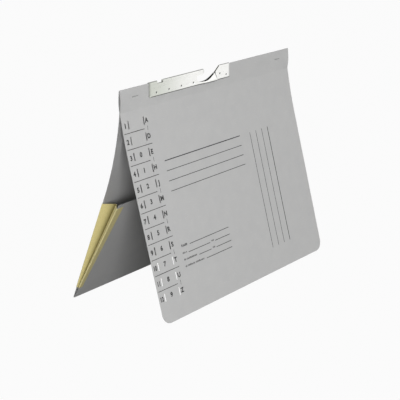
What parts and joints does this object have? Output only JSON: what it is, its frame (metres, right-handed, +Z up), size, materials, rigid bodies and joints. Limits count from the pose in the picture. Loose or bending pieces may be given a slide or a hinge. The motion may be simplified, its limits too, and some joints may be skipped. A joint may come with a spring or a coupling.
{
  "type": "hanging fastener folder",
  "caption": "Folded card folder with a steel hook rail on its spine, index slots down the front cover, a gusseted inside pocket and a prong fastener.",
  "frame": {"origin": "on the ground, in the middle of the standing folder's box", "axes": "+X along the spine from the index slots to the plain edge, -Y out of the front cover, +Z up"},
  "size_m": [0.3188, 0.1362, 0.2539],
  "materials": {
    "card": "matte",
    "rail_steel": "satin",
    "wire": "satin",
    "linen_tape": "matte",
    "fastener_steel": "satin"
  },
  "bodies": {
    "spine": {"spine_fold": "card", "hanging_rail": "rail_steel", "spine_staple_left": "wire", "spine_staple_right": "wire"},
    "front": {"front_cover": "card"},
    "back": {"back_cover": "card", "pocket_gusset_left": "linen_tape", "pocket_gusset_right": "linen_tape", "fastener_base": "fastener_steel", "fastener_strip": "card", "fastener_bar": "fastener_steel"},
    "lock_left": {"fastener_lock_left": "fastener_steel"},
    "lock_right": {"fastener_lock_right": "fastener_steel"}
  },
  "joints": [
    {"name": "front_cover_hinge", "type": "hinge", "parent": "spine", "child": "front", "pos_m": [0, -0.00919, 0.22808], "axis": [-1, 0, 0], "range_deg": [-5.5, 75]},
    {"name": "back_cover_hinge", "type": "hinge", "parent": "spine", "child": "back", "pos_m": [0, -0.00849, 0.22808], "axis": [1, 0, 0], "range_deg": [-5, 68]},
    {"name": "left_lock_slide", "type": "slide", "parent": "back", "child": "lock_left", "axis": [1, 0, 0], "range_m": [0, 0.014]},
    {"name": "right_lock_slide", "type": "slide", "parent": "back", "child": "lock_right", "axis": [-1, 0, 0], "range_m": [0, 0.014]}
  ]
}
